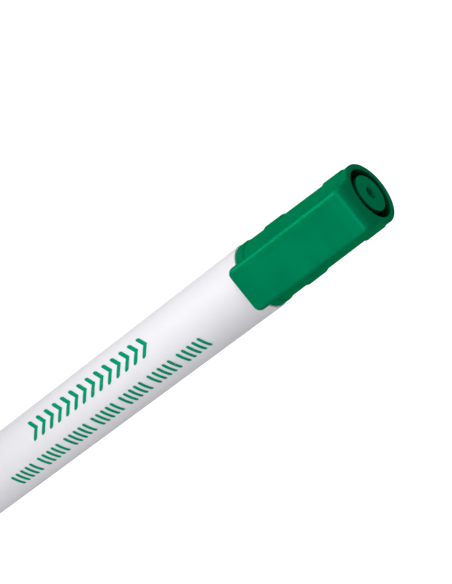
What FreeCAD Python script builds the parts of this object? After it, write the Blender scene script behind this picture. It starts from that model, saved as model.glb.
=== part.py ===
"""Whiteboard marker with a pull-off cap, standing on the flat end of its tail.

The pen's axis is +Z. The origin is the centre of the tail's end face, and the cap's clip
faces -Y. Sizes are in millimetres. Eight pieces are made: the barrel, its tail plug, the
fibre reservoir and its film, the nib holder, the nib, and the cap's shell and inner cap.
"""
import FreeCAD, Part
import math
import os
import re

import Sketcher
from FreeCAD import Vector

# Driving dimensions: alias, value, meaning. Lengths in mm, angles in degrees.
DIMENSIONS = [
    ("barrel_radius", 8.0, "outside of the white tube"),
    ("barrel_wall", 1.2, "thickness of the white tube"),
    ("barrel_length", 103.5, "tube, from the tail plug's flange to its open end"),
    ("barrel_edge_round", 0.12, "rounding of the tube's two outer edges"),
    ("centring_rib_count", 6, "ribs inside the tube that hold the reservoir"),
    ("centring_rib_width", 0.8, "each rib, across"),
    ("flange_radius", 7.75, "tail plug's visible disc"),
    ("flange_thickness", 2.0, "tail plug's visible disc"),
    ("flange_round", 0.7, "rounding of the tail's outer edge"),
    ("plug_depth", 7.0, "tail plug's skirt inside the tube"),
    ("plug_wall", 1.2, "tail plug's skirt"),
    ("plug_floor", 1.8, "tail plug's floor behind the end face"),
    ("tail_ring_radius", 5.0, "outside of the shallow ring moulded in the end face"),
    ("tail_ring_width", 0.6, "the shallow ring, across"),
    ("tail_ring_depth", 0.3, "the shallow ring, deep"),
    ("reservoir_radius", 6.0, "fibre rod"),
    ("film_thickness", 0.15, "plastic film wrapped round the fibre rod"),
    ("nib_socket_depth", 5.5, "how far the nib reaches into the fibre rod"),
    ("running_gap", 0.05, "radial clearance of the pieces that slide or turn"),
    ("collar_depth", 7.0, "nib holder's part inside the tube"),
    ("neck_radius", 6.15, "nib holder under the cap"),
    ("neck_length", 11.5, "nib holder under the cap, to its shoulder"),
    ("neck_wall", 1.1, "nib holder under the cap"),
    ("grip_band_height", 0.05, "band round the neck that the cap grips"),
    ("grip_band_start", 2.0, "from the tube's end to the band"),
    ("grip_band_width", 2.5, "the band, along the axis"),
    ("shoulder_length", 3.5, "cone from the neck to the nose"),
    ("nose_radius", 3.4, "nose that the inner cap seals on"),
    ("nose_length", 8.0, "nose, along the axis"),
    ("nose_round", 0.5, "rounding of the nose's end"),
    ("air_channel_count", 4, "grooves beside the nib that let air in"),
    ("air_channel_width", 0.7, "each groove, across"),
    ("air_channel_reach", 0.45, "each groove, beyond the nib"),
    ("nib_radius", 2.2, "nib's rod"),
    ("nib_stick_out", 5.5, "nib beyond the nose"),
    ("nib_taper", 3.6, "length of the nib's tapered end"),
    ("nib_tip_radius", 1.25, "nib's flat end before rounding"),
    ("nib_tip_round", 1.1, "rounding of the nib's writing end"),
    ("nib_tail_bevel", 0.5, "bevel of the nib's end in the reservoir"),
    ("cap_seat_gap", 0.1, "between the tube's end and the cap's mouth"),
    ("cap_length", 32.4, "cap without the clip's overhang"),
    ("mouth_radius", 7.78, "band round the cap's mouth"),
    ("mouth_round", 0.2, "rounding of the mouth's outer edge"),
    ("mouth_band_length", 2.1, "band at full height"),
    ("mouth_step_length", 0.3, "steep step from the band down to the cap's side"),
    ("ramp_length", 0.65, "slope at the end of a raised pad or band"),
    ("waist_mouth_radius", 7.53, "cap's conical side next to the mouth band"),
    ("waist_end_radius", 7.14, "cap's conical side next to the end ring"),
    ("end_ring_radius", 7.22, "plain ring at the cap's closed end"),
    ("end_ring_length", 1.22, "plain ring at the cap's closed end"),
    ("end_ring_round", 0.35, "rounding of the ring's outer edge"),
    ("slot_radius", 5.9, "outside of the annular air slot"),
    ("slot_round", 0.25, "rounding of the air slot's mouth"),
    ("cap_bore_radius", 6.25, "cap where it slides on the neck"),
    ("cap_bore_length", 12.3, "that bore, from the mouth"),
    ("cap_bore_taper", 1.7, "cone between that bore and the air slot"),
    ("cap_lead_in", 0.5, "bevel inside the mouth"),
    ("liner_rib_count", 6, "ribs in the cap that hold the inner cap"),
    ("liner_rib_width", 1.0, "each rib, across"),
    ("liner_rib_start", 17.0, "from the mouth to the ribs"),
    ("liner_rib_length", 9.8, "the ribs, along the axis"),
    ("pad_axis_offset", 3.0, "from the cap's axis to the axis that a crowned pad is turned on"),
    ("pad_turn", 80.0, "angle that a pad is turned through, so that its sides end in the wall"),
    ("side_pad_height", 0.29, "raised grip pads at the cap's sides, at their middle"),
    ("side_pad_length", 6.0, "each side pad, with its two slopes"),
    ("side_pad_first", 1.7, "from the closed end to the first side pads"),
    ("side_pad_second", 18.9, "from the closed end to the second side pads"),
    ("corner_pad_height", 0.16, "lower pads between the side pads and the clip"),
    ("corner_pad_length", 8.0, "each corner pad, with its two slopes"),
    ("corner_pad_start", 2.5, "from the closed end to the corner pads"),
    ("clip_width", 11.0, "clip, across"),
    ("clip_height", 10.0, "from the axis to the clip's outer face"),
    ("clip_thickness", 1.6, "clip's blade"),
    ("clip_overhang", 1.0, "clip beyond the cap's mouth"),
    ("clip_root_length", 5.0, "solid root at the closed end"),
    ("clip_root_depth", 4.0, "from the axis to the root's hidden foot"),
    ("clip_lead_height", 0.6, "slope under the clip's tip, where a pocket's edge enters"),
    ("clip_lead_length", 2.5, "that slope, along the axis"),
    ("clip_end_round", 1.95, "rounding from the clip's outer face to the closed end"),
    ("clip_corner_round", 1.6, "the clip tip's corners, seen from outside"),
    ("clip_edge_round", 0.9, "rounding of the clip's outer edges"),
    ("liner_radius", 4.36, "inner cap's disc and wall"),
    ("liner_length", 17.1, "inner cap, along the axis"),
    ("liner_edge_round", 0.3, "rounding of the disc's edge"),
    ("liner_end_thickness", 1.6, "inner cap's closed end"),
    ("liner_flange_radius", 5.3, "flange that stops below the ribs"),
    ("liner_flange_thickness", 0.9, "flange that stops below the ribs"),
    ("dimple_radius", 1.45, "moulding dimple, at the disc's face"),
    ("dimple_floor_radius", 0.95, "moulding dimple, at its floor"),
    ("dimple_depth", 1.05, "moulding dimple, below the disc's face"),
]

# Heights above the tail's end face, as formulas of the cells.
TUBE_END = "flange_thickness + barrel_length"
PLUG_END = "flange_thickness + plug_depth"
HOLDER_START = TUBE_END + " - collar_depth"
NIB_START = HOLDER_START + " - nib_socket_depth"
CAP_MOUTH = TUBE_END + " + cap_seat_gap"
LINER_START = CAP_MOUTH + " + cap_length - liner_length"

# How the pads stand round the cap, in degrees about +Z from +X; the clip is at 270.
# The first pad's place, the number of pads, and the angle that they fill.
SIDE_PAD_RING = (0, 3, 180)
CORNER_PAD_RING = (45, 4, 360)

doc = FreeCAD.newDocument("WhiteboardMarker")
sheet = doc.addObject("Spreadsheet::Sheet", "Dims")


def fill_sheet():
    """Write one row per driving dimension: name, value with its alias, meaning."""
    for row, (alias, value, meaning) in enumerate(DIMENSIONS, start=1):
        sheet.set("A%d" % row, alias)
        sheet.set("B%d" % row, str(value))
        sheet.set("C%d" % row, meaning)
        sheet.setAlias("B%d" % row, alias)
    doc.recompute()


def size(formula):
    """Value of a formula written with the sheet's aliases."""
    return float(sheet.evalExpression(formula))


def quoted(formula):
    """The same formula, with each alias named the way other objects refer to it."""
    return re.sub(r"[a-z]\w*", lambda word: "Dims." + word.group(0), formula)


def bind(owner, **formulas):
    """Drive the owner's properties by formulas of the sheet's cells."""
    for prop, formula in formulas.items():
        owner.setExpression(prop, quoted(formula))


def new_body(label, height="0"):
    """An empty body whose own origin stands at the given height above the tail."""
    body = doc.addObject("PartDesign::Body", label)
    body.Label = label
    body.setExpression("Placement.Base.z", quoted(height))
    return body


def origin_feature(body, role):
    """The body's own origin plane or axis with that role."""
    return next(item for item in body.Origin.OriginFeatures if item.Role == role)


def add_sketch(body, name, plane, lift=None):
    """An empty sketch on one of the body's planes, lifted off it along the plane's normal."""
    sketch = body.newObject("Sketcher::SketchObject", name)
    sketch.AttachmentSupport = [(origin_feature(body, plane), "")]
    sketch.MapMode = "FlatFace"
    if lift is not None:
        sketch.setExpression("AttachmentOffset.Base.z", quoted(lift))
    return sketch


def pin_point(sketch, geometry, point, across, up):
    """Tie a point of the sketch to its two coordinates, each a formula."""
    for kind, formula in (("DistanceX", across), ("DistanceY", up)):
        rule = Sketcher.Constraint(kind, -1, 1, geometry, point, size(formula))
        index = sketch.addConstraint(rule)
        sketch.setExpression("Constraints[%d]" % index, quoted(formula))


def outline(body, name, plane, corners, lift=None):
    """Closed straight-sided sketch; each corner is a pair of formulas, across and up."""
    sketch = add_sketch(body, name, plane, lift)
    points = [Vector(size(across), size(up), 0) for across, up in corners]
    for start, end in zip(points, points[1:] + points[:1]):
        sketch.addGeometry(Part.LineSegment(start, end), False)
    for index, (across, up) in enumerate(corners):
        before = (index - 1) % len(corners)
        sketch.addConstraint(Sketcher.Constraint("Coincident", before, 2, index, 1))
        pin_point(sketch, index, 1, across, up)
    return sketch


def turn(body, name, corners, kind="Revolution"):
    """Turn a half outline about the body's axis, adding material or, as a Groove, cutting it."""
    profile = outline(body, name + "Outline", "XZ_Plane", corners)
    feature = body.newObject("PartDesign::" + kind, name)
    feature.Profile = profile
    feature.ReferenceAxis = (profile, ["V_Axis"])
    feature.Angle = 360
    profile.Visibility = False
    return feature


def turn_part_way(body, name, corners, facing, offset, angle):
    """Turn a half outline through an angle about an axis beside the body's own.

    The axis stands at the offset from the body's, in the direction of a heading in degrees
    from +X, and the outline's distances are measured from it.
    """
    feature = turn(body, name, corners)
    swivel = FreeCAD.Rotation(Vector(0, 1, 0), facing)
    place = swivel.multVec(Vector(size(offset), 0, 0))
    feature.Profile[0].AttachmentOffset = FreeCAD.Placement(place, swivel)
    feature.Midplane = True
    bind(feature, Angle=angle)
    return feature


def extrude(body, name, profile, length, kind="Pad", midplane=False):
    """Extrude a sketch, adding material or, as a Pocket, cutting it."""
    feature = body.newObject("PartDesign::" + kind, name)
    feature.Profile = profile
    feature.Midplane = midplane
    bind(feature, Length=length)
    profile.Visibility = False
    return feature


def repeat_round_axis(body, name, feature, count, angle=360):
    """Repeat a feature about the body's axis; the copies fill the angle evenly."""
    doc.recompute()
    pattern = body.newObject("PartDesign::PolarPattern", name)
    pattern.Originals = [feature]
    pattern.Axis = (origin_feature(body, "Z_Axis"), [""])
    pattern.Angle = angle
    if isinstance(count, str):
        bind(pattern, Occurrences=count)
    else:
        pattern.Occurrences = count
    body.Tip = pattern
    doc.recompute()
    return pattern


def nearest_edges(feature, points):
    """Names of the feature's edges that pass closest to the points."""
    names = []
    for point in points:
        gaps = [edge.distToShape(Part.Vertex(point))[0] for edge in feature.Shape.Edges]
        names.append("Edge%d" % (gaps.index(min(gaps)) + 1))
    return names


def round_edges(body, name, radius, points):
    """Round the edges of the body's last feature that pass closest to the points."""
    doc.recompute()
    base = body.Tip
    fillet = body.newObject("PartDesign::Fillet", name)
    fillet.Base = (base, nearest_edges(base, points))
    bind(fillet, Radius=radius)
    doc.recompute()
    return fillet


def on_circle(radius, height):
    """A point on a circle round the body's axis, for picking that circle's edge."""
    return Vector(0, size(radius), size(height))


def must_cut(body, feature, volume_before):
    """Stop if a cutting feature removed nothing."""
    doc.recompute()
    if body.Shape.Volume >= volume_before:
        raise RuntimeError("%s cuts nothing" % feature.Label)


def make_barrel():
    """White tube with centring ribs inside."""
    body = new_body("barrel", "flange_thickness")
    bore = "barrel_radius - barrel_wall"
    turn(body, "Tube", [
        (bore, "0"),
        ("barrel_radius", "0"),
        ("barrel_radius", "barrel_length"),
        (bore, "barrel_length"),
    ])
    rib_tip = "reservoir_radius + film_thickness + running_gap"
    rib_root = bore + " + barrel_wall / 2"
    half = "centring_rib_width / 2"
    rib_sketch = outline(body, "RibOutline", "XY_Plane", [
        (rib_tip, "-" + half),
        (rib_root, "-" + half),
        (rib_root, half),
        (rib_tip, half),
    ], lift="plug_depth + running_gap")
    rib_length = "barrel_length - collar_depth - plug_depth - running_gap"
    rib = extrude(body, "Rib", rib_sketch, rib_length)
    repeat_round_axis(body, "Ribs", rib, "centring_rib_count")
    round_edges(body, "EdgeRounds", "barrel_edge_round", [
        on_circle("barrel_radius", "0"),
        on_circle("barrel_radius", "barrel_length"),
    ])
    return body


def make_end_plug():
    """Tail plug: a flanged cup pressed into the tube, with a shallow ring in its end face."""
    body = new_body("end_plug")
    skirt = "barrel_radius - barrel_wall"
    hollow = skirt + " - plug_wall"
    turn(body, "Cup", [
        ("0", "0"),
        ("flange_radius", "0"),
        ("flange_radius", "flange_thickness"),
        (skirt, "flange_thickness"),
        (skirt, PLUG_END + " - plug_wall / 2"),
        (skirt + " - plug_wall / 4", PLUG_END),
        (hollow, PLUG_END),
        (hollow, "plug_floor"),
        ("0", "plug_floor"),
    ])
    doc.recompute()
    volume = body.Shape.Volume
    ring = turn(body, "EndRing", [
        ("tail_ring_radius - tail_ring_width", "0"),
        ("tail_ring_radius", "0"),
        ("tail_ring_radius", "tail_ring_depth"),
        ("tail_ring_radius - tail_ring_width", "tail_ring_depth"),
    ], kind="Groove")
    must_cut(body, ring, volume)
    round_edges(body, "EdgeRound", "flange_round", [on_circle("flange_radius", "0")])
    return body


def make_ink_reservoir():
    """Fibre rod that holds the ink, with a socket for the nib."""
    body = new_body("ink_reservoir", PLUG_END)
    length = "barrel_length - collar_depth - plug_depth"
    turn(body, "Rod", [
        ("0", "0"),
        ("reservoir_radius", "0"),
        ("reservoir_radius", length),
        ("nib_radius", length),
        ("nib_radius", length + " - nib_socket_depth"),
        ("0", length + " - nib_socket_depth"),
    ])
    return body


def make_reservoir_film():
    """Thin film wrapped round the fibre rod."""
    body = new_body("reservoir_film", PLUG_END)
    length = "barrel_length - collar_depth - plug_depth"
    turn(body, "Wrap", [
        ("reservoir_radius", "0"),
        ("reservoir_radius + film_thickness", "0"),
        ("reservoir_radius + film_thickness", length),
        ("reservoir_radius", length),
    ])
    return body


def make_nib_holder():
    """Front section: collar in the tube, neck under the cap, shoulder and nose."""
    body = new_body("nib_holder", HOLDER_START)
    band_start = "collar_depth + grip_band_start"
    band_end = band_start + " + grip_band_width"
    band_radius = "neck_radius + grip_band_height"
    neck_end = "collar_depth + neck_length"
    nose_start = neck_end + " + shoulder_length"
    nose_end = nose_start + " + nose_length"
    hollow = "neck_radius - neck_wall"
    turn(body, "Section", [
        (hollow, "0"),
        ("barrel_radius - barrel_wall", "0"),
        ("barrel_radius - barrel_wall", "collar_depth"),
        ("neck_radius", "collar_depth"),
        ("neck_radius", band_start),
        (band_radius, band_start + " + ramp_length"),
        (band_radius, band_end + " - ramp_length"),
        ("neck_radius", band_end),
        ("neck_radius", neck_end),
        ("nose_radius", nose_start),
        ("nose_radius", nose_end),
        ("nib_radius", nose_end),
        ("nib_radius", nose_start),
        (hollow, neck_end + " - neck_wall"),
    ])
    doc.recompute()
    volume = body.Shape.Volume
    half = "air_channel_width / 2"
    reach = "nib_radius + air_channel_reach"
    channel_sketch = outline(body, "ChannelOutline", "XY_Plane", [
        ("0", "-" + half),
        (reach, "-" + half),
        (reach, half),
        ("0", half),
    ], lift=nose_end)
    channel = extrude(body, "Channel", channel_sketch, "nose_length + shoulder_length / 2",
                      kind="Pocket")
    must_cut(body, channel, volume)
    repeat_round_axis(body, "Channels", channel, "air_channel_count")
    round_edges(body, "NoseRound", "nose_round", [on_circle("nose_radius", nose_end)])
    return body


def make_nib():
    """Bullet nib: a fibre rod with a tapered, rounded writing end."""
    body = new_body("nib", NIB_START)
    length = "nib_socket_depth + collar_depth + neck_length + shoulder_length" \
             " + nose_length + nib_stick_out"
    turn(body, "Rod", [
        ("0", "0"),
        ("nib_radius - nib_tail_bevel", "0"),
        ("nib_radius", "nib_tail_bevel"),
        ("nib_radius", length + " - nib_taper"),
        ("nib_tip_radius", length),
        ("0", length),
    ])
    round_edges(body, "TipRound", "nib_tip_round", [on_circle("nib_tip_radius", length)])
    return body


def wall_radius(distance):
    """Formula for the cap's conical side at a distance from the closed end."""
    cone_length = "(cap_length - end_ring_length - mouth_band_length - mouth_step_length)"
    slope = "(waist_mouth_radius - waist_end_radius) / " + cone_length
    return "(waist_end_radius + %s * (%s - end_ring_length))" % (slope, distance)


def add_grip_pads(body, name, start, length, height, ring):
    """A ring of crowned pads that rise out of the cap's side; their ends are short slopes."""
    facing, count, fill_angle = ring
    end = "(%s + %s)" % (start, length)
    pad = turn_part_way(body, name, [
        ("%s - pad_axis_offset - %s" % (wall_radius(end), height),
         "cap_length - %s - ramp_length" % end),
        ("%s - pad_axis_offset + %s" % (wall_radius(end), height),
         "cap_length - %s + ramp_length" % end),
        ("%s - pad_axis_offset + %s" % (wall_radius(start), height),
         "cap_length - %s - ramp_length" % start),
        ("%s - pad_axis_offset - %s" % (wall_radius(start), height),
         "cap_length - %s + ramp_length" % start),
    ], facing, "pad_axis_offset", "pad_turn")
    repeat_round_axis(body, name + "Ring", pad, count, fill_angle)


def add_clip(body):
    """Flat clip on a solid root, seen from the side, with a sloped underside at its tip."""
    underside = "clip_height - clip_thickness"
    side_view = outline(body, "ClipOutline", "YZ_Plane", [
        ("-clip_height", "cap_length"),
        ("-clip_height", "-clip_overhang"),
        ("-(%s + clip_lead_height)" % underside, "-clip_overhang"),
        ("-(%s)" % underside, "clip_lead_length - clip_overhang"),
        ("-(%s)" % underside, "cap_length - clip_root_length"),
        ("-clip_root_depth", "cap_length - clip_root_length"),
        ("-clip_root_depth", "cap_length"),
    ])
    return extrude(body, "Clip", side_view, "clip_width", midplane=True)


def cut_cap_bore(body):
    """Hollow the cap: a bore for the neck, a cone, and the air slot's outer wall."""
    doc.recompute()
    volume = body.Shape.Volume
    slot_start = "cap_bore_length + cap_bore_taper"
    bore = turn(body, "Bore", [
        ("0", "0"),
        ("cap_bore_radius + cap_lead_in", "0"),
        ("cap_bore_radius", "cap_lead_in"),
        ("cap_bore_radius", "cap_bore_length"),
        ("slot_radius", slot_start),
        ("slot_radius", "cap_length"),
        ("0", "cap_length"),
    ], kind="Groove")
    must_cut(body, bore, volume)


def add_liner_ribs(body):
    """Ribs inside the cap that hold the inner cap on the axis."""
    tip = "liner_radius + running_gap"
    root = "(slot_radius + waist_end_radius) / 2"
    half = "liner_rib_width / 2"
    rib_sketch = outline(body, "LinerRibOutline", "XY_Plane", [
        (tip, "-" + half),
        (root, "-" + half),
        (root, half),
        (tip, half),
    ], lift="liner_rib_start")
    rib = extrude(body, "LinerRib", rib_sketch, "liner_rib_length")
    repeat_round_axis(body, "LinerRibs", rib, "liner_rib_count")


def round_clip(body):
    """Round the clip's corners, its closed end and then all its outer edges."""
    side = size("clip_width / 2")
    outer = -size("clip_height")
    tip = -size("clip_overhang")
    end = size("cap_length")
    middle = size("cap_length / 2")
    near_outer = -size("clip_height - clip_thickness / 4")
    arc_inset = size("clip_end_round") * (1 - math.sqrt(0.5))
    below_arc = -size("clip_height - clip_end_round * 1.2")
    round_edges(body, "TipCorners", "clip_corner_round", [
        Vector(side, near_outer, tip),
        Vector(-side, near_outer, tip),
    ])
    round_edges(body, "ClipEnd", "clip_end_round", [Vector(0, outer, end)])
    round_edges(body, "ClipEdges", "clip_edge_round", [
        Vector(side, outer, middle),
        Vector(0, outer, tip),
        Vector(-side, outer, middle),
        Vector(side, outer + arc_inset, end - arc_inset),
        Vector(-side, outer + arc_inset, end - arc_inset),
        Vector(side, below_arc, end),
        Vector(-side, below_arc, end),
    ])


def make_cap_shell():
    """Cap with its clip moulded on: bands at both ends, grip pads and an open air slot."""
    body = new_body("cap_shell", CAP_MOUTH)
    ring_start = "cap_length - end_ring_length"
    turn(body, "Blank", [
        ("0", "0"),
        ("mouth_radius", "0"),
        ("mouth_radius", "mouth_band_length"),
        ("waist_mouth_radius", "mouth_band_length + mouth_step_length"),
        ("waist_end_radius", ring_start),
        ("end_ring_radius", ring_start),
        ("end_ring_radius", "cap_length"),
        ("0", "cap_length"),
    ])
    round_edges(body, "MouthRound", "mouth_round", [on_circle("mouth_radius", "0")])
    round_edges(body, "EndRound", "end_ring_round", [on_circle("end_ring_radius", "cap_length")])
    side_pad = ("side_pad_length", "side_pad_height", SIDE_PAD_RING)
    corner_pad = ("corner_pad_length", "corner_pad_height", CORNER_PAD_RING)
    add_grip_pads(body, "FirstSidePads", "side_pad_first", *side_pad)
    add_grip_pads(body, "SecondSidePads", "side_pad_second", *side_pad)
    add_grip_pads(body, "CornerPads", "corner_pad_start", *corner_pad)
    add_clip(body)
    cut_cap_bore(body)
    add_liner_ribs(body)
    round_clip(body)
    round_edges(body, "SlotRound", "slot_round", [on_circle("slot_radius", "cap_length")])
    return body


def make_inner_cap():
    """Cup that seals on the nose; its closed end is the disc inside the air slot."""
    body = new_body("inner_cap", LINER_START)
    bore = "nose_radius + running_gap"
    ceiling = "liner_length - liner_end_thickness"
    turn(body, "Cup", [
        (bore + " + cap_lead_in", "0"),
        ("liner_flange_radius", "0"),
        ("liner_flange_radius", "liner_flange_thickness"),
        ("liner_radius", "liner_flange_thickness"),
        ("liner_radius", "liner_length"),
        ("dimple_radius", "liner_length"),
        ("dimple_floor_radius", "liner_length - dimple_depth"),
        ("0", "liner_length - dimple_depth"),
        ("0", ceiling),
        (bore, ceiling),
        (bore, "cap_lead_in"),
    ])
    round_edges(body, "DiscRound", "liner_edge_round", [on_circle("liner_radius", "liner_length")])
    return body


def check_document(bodies):
    """Stop if any object failed, or if a piece is empty, broken or in several lumps."""
    for item in doc.Objects:
        if "Invalid" in item.State or "Error" in item.State:
            raise RuntimeError("%s failed: %s" % (item.Label, item.State))
    for body in bodies:
        shape = body.Shape
        if shape.isNull() or not shape.isValid() or len(shape.Solids) != 1:
            raise RuntimeError("%s is not one valid solid" % body.Label)
        print("%-16s %9.2f mm3  z %7.2f to %7.2f" % (
            body.Label, shape.Volume, shape.BoundBox.ZMin, shape.BoundBox.ZMax))


def main():
    fill_sheet()
    bodies = [
        make_barrel(),
        make_end_plug(),
        make_ink_reservoir(),
        make_reservoir_film(),
        make_nib_holder(),
        make_nib(),
        make_cap_shell(),
        make_inner_cap(),
    ]
    doc.recompute()
    check_document(bodies)
    os.makedirs("parts", exist_ok=True)
    for body in bodies:
        body.Shape.exportStep("parts/%s.step" % body.Label)


main()
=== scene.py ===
"""Looks of the whiteboard marker: materials, the print on the barrel, the felt nib, light and camera.

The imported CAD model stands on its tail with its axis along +Z and its clip facing -Y, in metres.
"""
import math

import bmesh
import bpy
from mathutils import Matrix, Vector

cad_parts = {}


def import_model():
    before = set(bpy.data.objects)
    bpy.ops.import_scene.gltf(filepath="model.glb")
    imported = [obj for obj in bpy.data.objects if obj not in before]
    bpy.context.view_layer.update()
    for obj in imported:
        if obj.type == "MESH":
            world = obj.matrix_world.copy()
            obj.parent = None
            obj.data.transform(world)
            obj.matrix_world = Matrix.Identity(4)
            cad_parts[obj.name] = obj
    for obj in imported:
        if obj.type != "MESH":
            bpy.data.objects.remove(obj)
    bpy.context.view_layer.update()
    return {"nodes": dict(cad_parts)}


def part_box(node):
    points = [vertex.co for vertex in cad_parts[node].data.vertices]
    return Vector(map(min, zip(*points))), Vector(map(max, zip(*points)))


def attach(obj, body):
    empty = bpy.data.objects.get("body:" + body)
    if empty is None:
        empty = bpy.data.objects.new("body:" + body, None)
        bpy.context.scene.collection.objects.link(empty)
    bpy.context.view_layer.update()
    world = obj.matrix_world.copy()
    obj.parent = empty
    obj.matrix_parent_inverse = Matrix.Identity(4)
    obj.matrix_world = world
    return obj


MM = 0.001

# Colours, linear RGB.
CAP_GREEN = (0.0, 0.187, 0.079)
LINER_GREEN = (0.0, 0.210, 0.086)
INK_GREEN = (0.0, 0.262, 0.126)
BARREL_WHITE = (0.725, 0.715, 0.745)
HOLDER_WHITE = (0.78, 0.79, 0.80)
FLOOR_WHITE = (0.90, 0.90, 0.90)

# How much light the pale floor and the room give off by themselves, to the pen and to the camera.
FLOOR_GLOW = 0.12
FLOOR_GLOW_SEEN = 0.70
ROOM_SHINE = 0.47
ROOM_SEEN = 1.05

# The floor stays clear of the tail's end face, and the light panels of the floor.
FLOOR_GAP = 0.02 * MM
PANEL_HEIGHT = 3 * MM

# The printed ink's thickness above the barrel's surface, and how far its solid is sunk into it.
PRINT_LIFT = 0.03 * MM
PRINT_SINK = 0.03 * MM
PRINT_STEPS = 20

# Two rows of printed marks, in millimetres and degrees. Each starts at a distance from the cap's
# closed end and stands at an angle from the clip's centre line, positive towards +X.
ARROW_ROW = dict(
    count=14, start=62.4, pitch=2.95, group_size=14, group_gap=0.0,
    angle=-28, length=5.0, stroke=0.95, slant=0.8, folded=True,
)
SLASH_ROW = dict(
    count=35, start=50.0, pitch=1.7, group_size=5, group_gap=1.2,
    angle=28, length=3.7, stroke=0.8, slant=0.25, folded=False,
)

# The camera, aimed at a point beside the pen's axis below the cap's closed end. It looks along
# +Y, turned by the heading, down by the pitch and tilted by the roll.
AIM_BELOW_END = 42.07 * MM
AIM_SIDE = -1.745 * MM
CAMERA_DISTANCE = 382.2 * MM
CAMERA_HEADING = math.radians(3.0)
CAMERA_PITCH = math.radians(31.27)
CAMERA_ROLL = math.radians(52.79)
CAMERA_LENS = 108.35


# ---------------------------------------------------------------- node graph helpers

class Graph:
    """A material's node graph, built by short calls that return output sockets."""

    def __init__(self, name):
        self.material = bpy.data.materials.new(name)
        self.material.use_nodes = True
        self.tree = self.material.node_tree
        self.tree.nodes.clear()
        self.output = self.tree.nodes.new("ShaderNodeOutputMaterial")
        self.place = self.tree.nodes.new("ShaderNodeTexCoord").outputs["Object"]

    def node(self, kind, inputs=None, **settings):
        """A node with its settings made and its inputs set or linked."""
        made = self.tree.nodes.new(kind)
        for key, value in settings.items():
            setattr(made, key, value)
        for key, value in (inputs or {}).items():
            self.feed(made.inputs[key], value)
        return made

    def feed(self, socket, value):
        """Link an output socket to an input, or set the input's value."""
        if isinstance(value, bpy.types.NodeSocket):
            self.tree.links.new(value, socket)
        elif isinstance(value, tuple) and len(value) == 3 and socket.type == "RGBA":
            socket.default_value = (*value, 1.0)
        else:
            socket.default_value = value

    def noise(self, scale, detail=4.0, stretch=(1, 1, 1)):
        """Noise over the object's own coordinates, stretched by the inverse of each factor."""
        mapped = self.node("ShaderNodeMapping", {"Vector": self.place, "Scale": stretch})
        made = self.node("ShaderNodeTexNoise", {
            "Vector": mapped.outputs["Vector"],
            "Scale": scale,
            "Detail": detail,
        })
        return made.outputs["Fac"]

    def math(self, operation, first, second, clamp=False):
        """Arithmetic on two values or sockets."""
        made = self.node("ShaderNodeMath", {0: first, 1: second}, operation=operation)
        made.use_clamp = clamp
        return made.outputs[0]

    def ramp(self, value, low, high, out_low=0.0, out_high=1.0):
        """Map value from low..high to out_low..out_high, clamped and eased."""
        made = self.node("ShaderNodeMapRange", {
            "Value": value,
            "From Min": low,
            "From Max": high,
            "To Min": out_low,
            "To Max": out_high,
        }, interpolation_type="SMOOTHSTEP")
        return made.outputs["Result"]

    def mix(self, factor, first, second):
        """Blend two colours."""
        made = self.tree.nodes.new("ShaderNodeMix")
        made.data_type = "RGBA"
        colours = [socket for socket in made.inputs if socket.type == "RGBA"]
        self.feed(made.inputs["Factor"], factor)
        self.feed(colours[0], first)
        self.feed(colours[1], second)
        return next(socket for socket in made.outputs if socket.type == "RGBA")

    def edge_mask(self, radius, strength):
        """1 on edges sharper than the radius and 0 on open surfaces."""
        bevel = self.node("ShaderNodeBevel", {"Radius": radius}, samples=6)
        normal = self.node("ShaderNodeNewGeometry").outputs["Normal"]
        alike = self.node("ShaderNodeVectorMath", {0: bevel.outputs[0], 1: normal},
                          operation="DOT_PRODUCT").outputs["Value"]
        return self.math("MULTIPLY", self.math("SUBTRACT", 1.0, alike), strength, clamp=True)

    def painted_crevice_shade(self, reach, darkest):
        """Painted shade factor: 1 on open surfaces, falling to darkest in slots and corners narrower
        than the reach, where shade falls.
        """
        openness = self.node("ShaderNodeAmbientOcclusion", {"Distance": reach}, samples=8)
        return self.ramp(openness.outputs["AO"], 0.1, 1.0, darkest, 1.0)

    def bump(self, height, strength, distance, normal=None):
        """A normal that makes the height look raised by up to the distance."""
        inputs = {"Height": height, "Strength": strength, "Distance": distance}
        if normal is not None:
            inputs["Normal"] = normal
        return self.node("ShaderNodeBump", inputs).outputs["Normal"]

    def surface(self, **inputs):
        """Finish with a Principled shader; underscores in names stand for spaces."""
        named = {key.replace("_", " "): value for key, value in inputs.items()}
        shader = self.node("ShaderNodeBsdfPrincipled", named)
        self.tree.links.new(shader.outputs["BSDF"], self.output.inputs["Surface"])
        return self.material


def shade_of(colour, factor):
    """The colour made lighter or darker."""
    return tuple(min(channel * factor, 1.0) for channel in colour)


def colour_only(colour):
    """The colour at full brightness, for tinting a reflection."""
    return shade_of(colour, 1 / max(colour))


# ---------------------------------------------------------------- materials

def scratches(graph, scale):
    """Fine hairlines that run mostly round the pen."""
    lines = graph.noise(scale, detail=2.0, stretch=(0.04, 0.04, 1))
    patches = graph.noise(90, detail=2.0)
    line_mask = graph.ramp(lines, 0.66, 0.72)
    return graph.math("MULTIPLY", line_mask, graph.ramp(patches, 0.52, 0.68))


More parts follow.
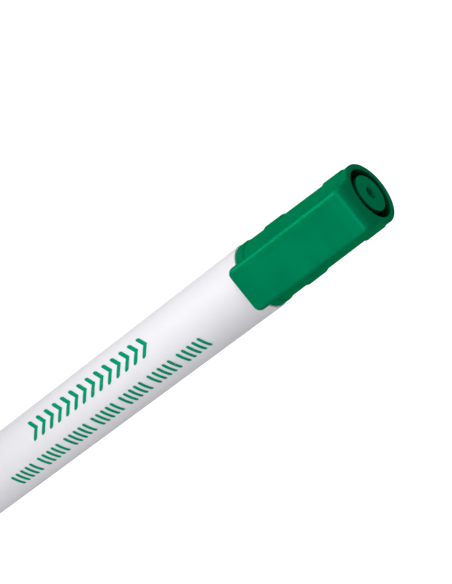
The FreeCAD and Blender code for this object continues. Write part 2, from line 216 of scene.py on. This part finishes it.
def moulded_plastic(name, colour, roughness, tinted_shine):
    """Deeply pigmented moulded plastic: cloudy colour, fine grain, edges lightened partly by wear and
    partly as a painted highlight, handling marks, and painted shade in slots and corners.

    Its pigment tints what it reflects, so the shine takes the base colour.
    """
    graph = Graph(name)
    clouds = graph.noise(160, detail=3.0)
    grain = graph.noise(5200, detail=2.0)
    wear_and_highlight_edges = graph.edge_mask(0.4 * MM, 1.0)
    marks = scratches(graph, 2600)
    base = graph.mix(graph.ramp(clouds, 0.3, 0.7), shade_of(colour, 0.94), shade_of(colour, 1.05))
    # Edges lightened: partly rubbed wear, partly a painted highlight along the rounded edges.
    worn_and_highlit = graph.mix(graph.math("MULTIPLY", wear_and_highlight_edges, 0.8), base, shade_of(colour, 1.6))
    scuffed = graph.mix(graph.math("MULTIPLY", marks, 0.25), worn_and_highlit, shade_of(colour, 1.35))
    # Painted shade: the colour is darkened towards black in slots, corners and under the clip, where
    # shade falls.
    with_painted_shade = graph.mix(graph.painted_crevice_shade(5 * MM, 0.2), (0.0, 0.0, 0.0), scuffed)
    rough = graph.math("ADD", graph.ramp(clouds, 0.3, 0.7, roughness - 0.04, roughness + 0.05),
                       graph.math("MULTIPLY", marks, 0.15))
    edge_normal = graph.node("ShaderNodeBevel", {"Radius": 0.4 * MM}, samples=6).outputs[0]
    normal = graph.bump(grain, 0.12, 0.02 * MM, edge_normal)
    return graph.surface(
        Base_Color=with_painted_shade,
        Roughness=rough,
        Normal=normal,
        Metallic=tinted_shine,
        Specular_IOR_Level=0.0,
        Specular_Tint=(*colour_only(colour), 1.0),
        Subsurface_Weight=0.1,
        Subsurface_Radius=(0.6, 1.0, 0.8),
        Subsurface_Scale=1.0 * MM,
    )


def white_barrel():
    """Semi-gloss white tube, faintly translucent, with hairlines and a slight cool tint."""
    graph = Graph("barrel_plastic")
    clouds = graph.noise(70, detail=3.0)
    grain = graph.noise(4200, detail=2.0)
    marks = scratches(graph, 2200)
    smudges = graph.ramp(graph.noise(38, detail=5.0), 0.5, 0.75)
    base = graph.mix(graph.ramp(clouds, 0.3, 0.7), shade_of(BARREL_WHITE, 0.985), BARREL_WHITE)
    marked = graph.mix(graph.math("MULTIPLY", marks, 0.12), base, (0.55, 0.56, 0.58))
    rough = graph.math("ADD", graph.ramp(smudges, 0.0, 1.0, 0.40, 0.48),
                       graph.math("MULTIPLY", marks, 0.2))
    edge_normal = graph.node("ShaderNodeBevel", {"Radius": 0.15 * MM}, samples=6).outputs[0]
    return graph.surface(
        Base_Color=marked,
        Roughness=rough,
        Normal=graph.bump(grain, 0.08, 0.02 * MM, edge_normal),
        Specular_IOR_Level=0.25,
        Subsurface_Weight=0.7,
        Subsurface_Radius=(1.0, 0.95, 0.9),
        Subsurface_Scale=0.8 * MM,
    )


def holder_plastic(nose_end):
    """White nib holder, tinted by ink towards the nib."""
    graph = Graph("holder_plastic")
    height = graph.node("ShaderNodeSeparateXYZ", {0: graph.place}).outputs["Z"]
    blots = graph.noise(420, detail=4.0)
    reach = graph.math("ADD", height, graph.math("MULTIPLY", blots, 1.6 * MM))
    stain = graph.ramp(reach, nose_end - 1.2 * MM, nose_end + 0.9 * MM)
    base = graph.mix(graph.ramp(graph.noise(120), 0.3, 0.7), shade_of(HOLDER_WHITE, 0.97),
                     HOLDER_WHITE)
    inked = graph.mix(graph.math("MULTIPLY", stain, 0.75), base, INK_GREEN)
    return graph.surface(
        Base_Color=inked,
        Roughness=graph.ramp(blots, 0.3, 0.7, 0.38, 0.5),
        Normal=graph.bump(graph.noise(3800), 0.1, 0.02 * MM),
        Subsurface_Weight=0.2,
        Subsurface_Scale=1.0 * MM,
    )


def felt(name, wet, dry):
    """Bonded fibres along the pen, soaked unevenly with ink."""
    graph = Graph(name)
    fibres = graph.noise(5200, detail=3.0, stretch=(1, 1, 0.06))
    soaked = graph.ramp(graph.noise(700, detail=4.0), 0.3, 0.7)
    base = graph.mix(soaked, wet, dry)
    streaked = graph.mix(graph.ramp(fibres, 0.35, 0.65), shade_of(wet, 0.55), base)
    return graph.surface(
        Base_Color=streaked,
        Roughness=graph.ramp(soaked, 0.0, 1.0, 0.55, 0.9),
        Normal=graph.bump(fibres, 0.6, 0.06 * MM),
        Sheen_Weight=0.25,
        Sheen_Roughness=0.6,
    )


def milky_film():
    """Thin film round the reservoir."""
    graph = Graph("film_plastic")
    wrinkles = graph.noise(300, detail=4.0, stretch=(1, 1, 0.2))
    return graph.surface(
        Base_Color=graph.mix(wrinkles, (0.62, 0.72, 0.67), (0.75, 0.82, 0.78)),
        Roughness=graph.ramp(wrinkles, 0.3, 0.7, 0.25, 0.45),
        Normal=graph.bump(wrinkles, 0.3, 0.1 * MM),
        Transmission_Weight=0.3,
    )


def printed_ink():
    """Pad-printed ink: even colour with tiny pinholes of thinner ink."""
    graph = Graph("printed_ink")
    pinholes = graph.ramp(graph.noise(3600, detail=3.0), 0.66, 0.74)
    clouds = graph.ramp(graph.noise(500, detail=3.0), 0.3, 0.7)
    base = graph.mix(clouds, shade_of(INK_GREEN, 0.92), shade_of(INK_GREEN, 1.06))
    return graph.surface(
        Base_Color=graph.mix(graph.math("MULTIPLY", pinholes, 0.35), base, BARREL_WHITE),
        Roughness=graph.ramp(clouds, 0.0, 1.0, 0.42, 0.52),
        Normal=graph.bump(pinholes, 0.2, 0.01 * MM),
        Metallic=0.1,
        Specular_IOR_Level=0.0,
        Specular_Tint=(*colour_only(INK_GREEN), 1.0),
    )


def dress_cad_nodes(nodes):
    """Give each carried-over CAD node its finished material."""
    nose_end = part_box("nib_holder")[1].z
    cap_plastic = moulded_plastic("cap_plastic", CAP_GREEN, 0.40, tinted_shine=0.36)
    finishes = {
        "barrel": white_barrel(),
        "end_plug": cap_plastic,
        "ink_reservoir": felt("reservoir_fibre", INK_GREEN, shade_of(INK_GREEN, 1.5)),
        "reservoir_film": milky_film(),
        "nib_holder": holder_plastic(nose_end),
        "nib": felt("nib_felt", shade_of(INK_GREEN, 0.7), shade_of(INK_GREEN, 1.15)),
        "cap_shell": cap_plastic,
        "inner_cap": moulded_plastic("liner_plastic", LINER_GREEN, 0.42, tinted_shine=0.2),
    }
    for name, material in finishes.items():
        node = nodes[name]
        node.data.materials.clear()
        node.data.materials.append(material)


# ---------------------------------------------------------------- print on the barrel

def add_mark(mesh, radius, place, angle, length, stroke, slant, folded):
    """One round-ended mark wrapped on the barrel, as a thin closed solid sunk into its surface.

    The mark runs round the barrel; place and angle are its middle. Slant leans it along the
    axis as it goes round, and a folded mark leans back on both sides, like an arrowhead.
    """
    half = length / 2
    half_width = stroke / 2 * math.hypot(1, slant)
    rings = []
    for step in range(PRINT_STEPS + 1):
        along = -half * math.cos(math.pi * step / PRINT_STEPS)
        past_flank = max(abs(along) - (half - stroke / 2), 0.0) / (stroke / 2)
        width = half_width * math.sqrt(max(1 - past_flank ** 2, 0.01))
        lean = -abs(along) if folded else along
        turn = angle + along / radius
        ring = []
        for side, lift in ((-1, -PRINT_SINK), (1, -PRINT_SINK), (1, PRINT_LIFT), (-1, PRINT_LIFT)):
            reach = radius + lift
            height = place + side * width + slant * lean
            ring.append(mesh.verts.new((reach * math.sin(turn), -reach * math.cos(turn), height)))
        rings.append(ring)
    for before, after in zip(rings, rings[1:]):
        for corner in range(4):
            following = (corner + 1) % 4
            mesh.faces.new((before[corner], before[following], after[following], after[corner]))
    mesh.faces.new(rings[0][::-1])
    mesh.faces.new(rings[-1])


def add_row(mesh, radius, cap_end, count, start, pitch, group_size, group_gap,
            angle, length, stroke, slant, folded):
    """A row of like marks down the barrel, with a wider gap after each group."""
    for index in range(count):
        below_end = start + index * pitch + index // group_size * group_gap
        add_mark(
            mesh,
            radius,
            place=cap_end - below_end * MM,
            angle=math.radians(angle),
            length=length * MM,
            stroke=stroke * MM,
            slant=slant,
            folded=folded,
        )


def make_print():
    """A bold row of arrowheads that point at the cap, and a finer row of slashes in fives.

    They are one object, which rides with the barrel.
    """
    low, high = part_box("barrel")
    radius = (high.x - low.x) / 2
    cap_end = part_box("cap_shell")[1].z
    mesh = bmesh.new()
    for row in (ARROW_ROW, SLASH_ROW):
        add_row(mesh, radius, cap_end, **row)
    bmesh.ops.recalc_face_normals(mesh, faces=mesh.faces)
    data = bpy.data.meshes.new("print_marks")
    mesh.to_mesh(data)
    mesh.free()
    data.materials.append(printed_ink())
    marks = bpy.data.objects.new("print_marks", data)
    bpy.context.scene.collection.objects.link(marks)
    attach(marks, "pen")


# ---------------------------------------------------------------- stage

def add_floor():
    """Pale floor under the tail."""
    bpy.ops.mesh.primitive_plane_add(size=6.0, location=(0, 0, -FLOOR_GAP))
    floor = bpy.context.object
    floor.name = "floor"
    graph = Graph("floor_paper")
    grain = graph.noise(900, detail=2.0)
    paper = graph.mix(grain, shade_of(FLOOR_WHITE, 0.99), FLOOR_WHITE)
    seen = graph.node("ShaderNodeLightPath").outputs["Is Camera Ray"]
    floor.data.materials.append(graph.surface(
        Base_Color=paper,
        Roughness=0.9,
        Specular_IOR_Level=0.1,
        Emission_Color=(1.0, 1.0, 1.0, 1.0),
        Emission_Strength=graph.ramp(seen, 0.0, 1.0, FLOOR_GLOW, FLOOR_GLOW_SEEN),
    ))


def add_floor_panel(name, across, ahead, width, depth, power):
    """A soft light that lies just above the floor and shines up, placed to the right and in front."""
    data = bpy.data.lights.new(name, "AREA")
    data.shape = "RECTANGLE"
    data.size = width
    data.size_y = depth
    data.energy = power
    light = bpy.data.objects.new(name, data)
    light.location = (across, -ahead, PANEL_HEIGHT)
    light.rotation_euler = (math.pi, 0, 0)
    light.visible_camera = False
    bpy.context.scene.collection.objects.link(light)


def aim_light(name, data, heading, elevation, distance, power, target):
    """Aim a light at the target from a heading off -Y and an elevation, both in degrees."""
    data.energy = power
    light = bpy.data.objects.new(name, data)
    across = math.radians(heading)
    above = math.radians(elevation)
    towards = Vector((
        math.sin(across) * math.cos(above),
        -math.cos(across) * math.cos(above),
        math.sin(above),
    ))
    light.location = target + towards * distance
    light.rotation_euler = towards.to_track_quat("Z", "Y").to_euler()
    light.visible_camera = False
    bpy.context.scene.collection.objects.link(light)


def add_card(name, side, **aim):
    """A small soft light, square and flat."""
    data = bpy.data.lights.new(name, "AREA")
    data.size = side
    aim_light(name, data, **aim)


def add_spot(name, beam, **aim):
    """A beam with a soft edge; its width is in degrees."""
    data = bpy.data.lights.new(name, "SPOT")
    data.spot_size = math.radians(beam)
    data.spot_blend = 1.0
    data.shadow_soft_size = 0.05
    aim_light(name, data, **aim)


def add_room():
    """A pale room all round, which looks lighter than it shines."""
    world = bpy.data.worlds.new("room")
    world.use_nodes = True
    tree = world.node_tree
    seen = tree.nodes.new("ShaderNodeLightPath").outputs["Is Camera Ray"]
    strength = tree.nodes.new("ShaderNodeMapRange")
    strength.inputs["To Min"].default_value = ROOM_SHINE
    strength.inputs["To Max"].default_value = ROOM_SEEN
    tree.links.new(seen, strength.inputs["Value"])
    background = tree.nodes["Background"].inputs
    tree.links.new(strength.outputs["Result"], background["Strength"])
    background["Color"].default_value = (0.97, 0.98, 1.0, 1.0)
    bpy.context.scene.world = world


def add_lights(cap_end):
    """Soft lights: a panel at the front left, cards round the cap, and a beam on the lower barrel.

    The ridge card gives the clip's edges their highlights. Sizes and distances are in metres,
    powers in watts.
    """
    cap = Vector((0, 0, cap_end))
    tail = Vector((0, 0, 0))
    add_floor_panel("left_panel", across=-0.24, ahead=0.20, width=0.30, depth=0.25, power=1.1)
    add_card("left_card", side=0.12, heading=-60, elevation=25, distance=0.4, power=0.22, target=cap)
    add_card("ridge_card", side=0.06, heading=0, elevation=5, distance=0.5, power=0.56, target=cap)
    add_card("back_card", side=0.2, heading=180, elevation=-12, distance=0.5, power=0.5, target=cap)
    add_spot("barrel_spot", beam=22, heading=-15, elevation=8, distance=0.6, power=3.0, target=tail)
    add_room()


def add_camera(cap_end):
    """Camera at the photographed angle: the pen runs up to the right, cap end foremost."""
    aim = Vector((AIM_SIDE, 0, cap_end - AIM_BELOW_END))
    forward = Vector((
        math.sin(CAMERA_HEADING) * math.cos(CAMERA_PITCH),
        math.cos(CAMERA_HEADING) * math.cos(CAMERA_PITCH),
        -math.sin(CAMERA_PITCH),
    ))
    level_right = forward.cross(Vector((0, 0, 1))).normalized()
    level_up = level_right.cross(forward)
    right = level_right * math.cos(CAMERA_ROLL) + level_up * math.sin(CAMERA_ROLL)
    up = right.cross(forward)
    data = bpy.data.cameras.new("camera")
    data.lens = CAMERA_LENS
    data.sensor_width = 36.0
    data.clip_start = 0.01
    camera = bpy.data.objects.new("camera", data)
    turn = Matrix((right, up, -forward)).transposed().to_4x4()
    camera.matrix_world = Matrix.Translation(aim - forward * CAMERA_DISTANCE) @ turn
    bpy.context.scene.collection.objects.link(camera)
    bpy.context.scene.camera = camera


def main():
    """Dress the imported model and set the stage."""
    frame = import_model()
    dress_cad_nodes(frame["nodes"])
    make_print()
    add_floor()
    cap_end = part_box("cap_shell")[1].z
    add_camera(cap_end)
    add_lights(cap_end)
    bpy.context.scene.view_settings.view_transform = "Standard"


main()
